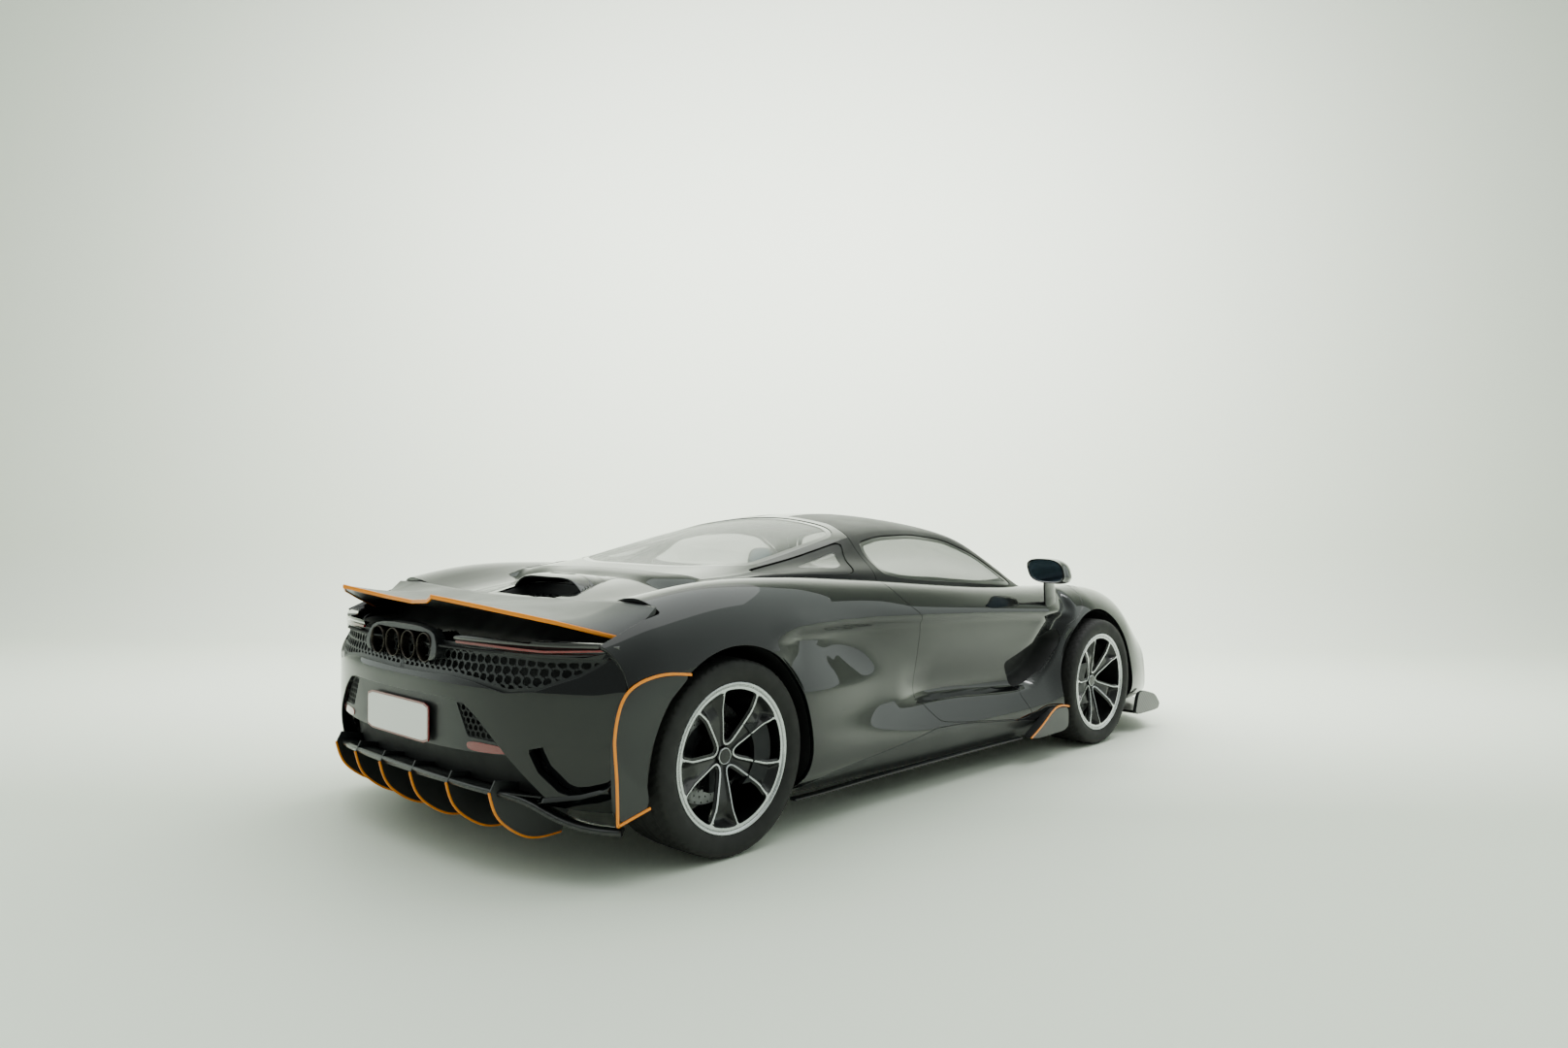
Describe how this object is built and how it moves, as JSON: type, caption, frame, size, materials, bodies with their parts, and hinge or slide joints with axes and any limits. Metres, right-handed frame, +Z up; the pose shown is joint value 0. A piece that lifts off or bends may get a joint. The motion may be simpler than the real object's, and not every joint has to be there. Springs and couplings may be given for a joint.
{
  "type": "supercar",
  "caption": "Low mid-engined two-seat coupe with upward-swinging doors, a wide rear wing, a finned diffuser and large open-spoked wheels.",
  "frame": {"origin": "on the ground, at the centre of the car's overall length and width", "axes": "+X forward, +Y to the car's left, +Z up"},
  "size_m": [4.587, 2.132, 1.1963],
  "materials": {
    "body_paint": "gloss near-black paint",
    "carbon": "satin carbon fibre",
    "glass": "tinted",
    "tyre": "matte",
    "wheel": "black gloss, machined edges",
    "brake_disc": "drilled, ground",
    "knuckle": "cast",
    "engine": "cast",
    "exhaust": "dark, heat coloured",
    "grille": "satin",
    "lamp": "smoked lens",
    "headlamp": "clear lens over dark housing",
    "plate": "blank",
    "seat": "soft",
    "trim": "grained",
    "satin_black": "satin"
  },
  "bodies": {
    "chassis": {"tub": "carbon", "body_front": "body_paint", "front_floor": "carbon", "body_rear": "body_paint", "engine_cover": "body_paint", "diffuser": "carbon", "side_skirts": "carbon", "aero_blades": "satin_black", "front_splitter": "satin_black", "roof_frame": "body_paint", "windscreen": "glass", "rear_window": "glass", "quarter_windows": "glass", "dashboard": "trim", "seat_left": "seat", "seat_right": "seat", "engine_block": "engine", "exhaust": "exhaust", "rear_grille": "grille", "tail_lamps": "lamp", "headlamps": "headlamp", "number_plate": "plate", "luggage_tub": "trim", "front_suspension": "knuckle", "rear_suspension": "knuckle"},
    "front_hub_left": {"front_knuckle_left": "knuckle"},
    "front_hub_right": {"front_knuckle_right": "knuckle"},
    "door_left": {"door_left": "body_paint", "door_glass_left": "glass", "mirror_left": "body_paint"},
    "door_right": {"door_right": "body_paint", "door_glass_right": "glass", "mirror_right": "body_paint"},
    "luggage_lid": {"luggage_lid": "body_paint"},
    "wing_rams": {"wing_rams": "knuckle"},
    "wing": {"wing": "satin_black"},
    "steering_wheel": {"steering_wheel": "trim"},
    "wheel_front_left": {"tyre_front_left": "tyre", "rim_front_left": "wheel", "brake_disc_front_left": "brake_disc"},
    "wheel_front_right": {"tyre_front_right": "tyre", "rim_front_right": "wheel", "brake_disc_front_right": "brake_disc"},
    "wheel_rear_left": {"tyre_rear_left": "tyre", "rim_rear_left": "wheel", "brake_disc_rear_left": "brake_disc"},
    "wheel_rear_right": {"tyre_rear_right": "tyre", "rim_rear_right": "wheel", "brake_disc_rear_right": "brake_disc"}
  },
  "joints": [
    {"name": "steer_left", "type": "hinge", "parent": "chassis", "child": "front_hub_left", "pos_m": [1.192, 0.822, 0.327], "axis": [0, 0, 1], "range_deg": [-30, 30]},
    {"name": "spin_front_left", "type": "hinge", "parent": "front_hub_left", "child": "wheel_front_left", "pos_m": [1.192, 0.822, 0.327], "axis": [0, 1, 0], "continuous": true},
    {"name": "spin_rear_left", "type": "hinge", "parent": "chassis", "child": "wheel_rear_left", "pos_m": [-1.478, 0.822, 0.3455], "axis": [0, 1, 0], "continuous": true},
    {"name": "door_left_open", "type": "hinge", "parent": "chassis", "child": "door_left", "pos_m": [1.1, 0.79, 0.82], "axis": [0.7259, 0.6113, -0.3152], "range_deg": [0, 75]},
    {"name": "steer_right", "type": "hinge", "parent": "chassis", "child": "front_hub_right", "pos_m": [1.192, -0.822, 0.327], "axis": [0, 0, 1], "range_deg": [-30, 30]},
    {"name": "spin_front_right", "type": "hinge", "parent": "front_hub_right", "child": "wheel_front_right", "pos_m": [1.192, -0.822, 0.327], "axis": [0, 1, 0], "continuous": true},
    {"name": "spin_rear_right", "type": "hinge", "parent": "chassis", "child": "wheel_rear_right", "pos_m": [-1.478, -0.822, 0.3455], "axis": [0, 1, 0], "continuous": true},
    {"name": "door_right_open", "type": "hinge", "parent": "chassis", "child": "door_right", "pos_m": [1.1, -0.79, 0.82], "axis": [-0.7259, 0.6113, 0.3152], "range_deg": [0, 75]},
    {"name": "luggage_lid_open", "type": "hinge", "parent": "chassis", "child": "luggage_lid", "pos_m": [1.141, 0, 0.7675], "axis": [0, -1, 0], "range_deg": [0, 50]},
    {"name": "wing_lift", "type": "slide", "parent": "chassis", "child": "wing_rams", "axis": [0, 0, 1], "range_m": [0, 0.06]},
    {"name": "wing_tilt", "type": "hinge", "parent": "wing_rams", "child": "wing", "pos_m": [-1.812, 0, 0.858], "axis": [0, 1, 0], "range_deg": [0, 28]},
    {"name": "steering_wheel_turn", "type": "hinge", "parent": "chassis", "child": "steering_wheel", "pos_m": [0.4, 0.37, 0.69], "axis": [-0.9136, 0, 0.4067], "range_deg": [-420, 420]}
  ],
  "couplings": [
    {"joint": "steer_right", "follows": "steer_left", "ratio": 1},
    {"joint": "steering_wheel_turn", "follows": "steer_left", "ratio": 14}
  ]
}
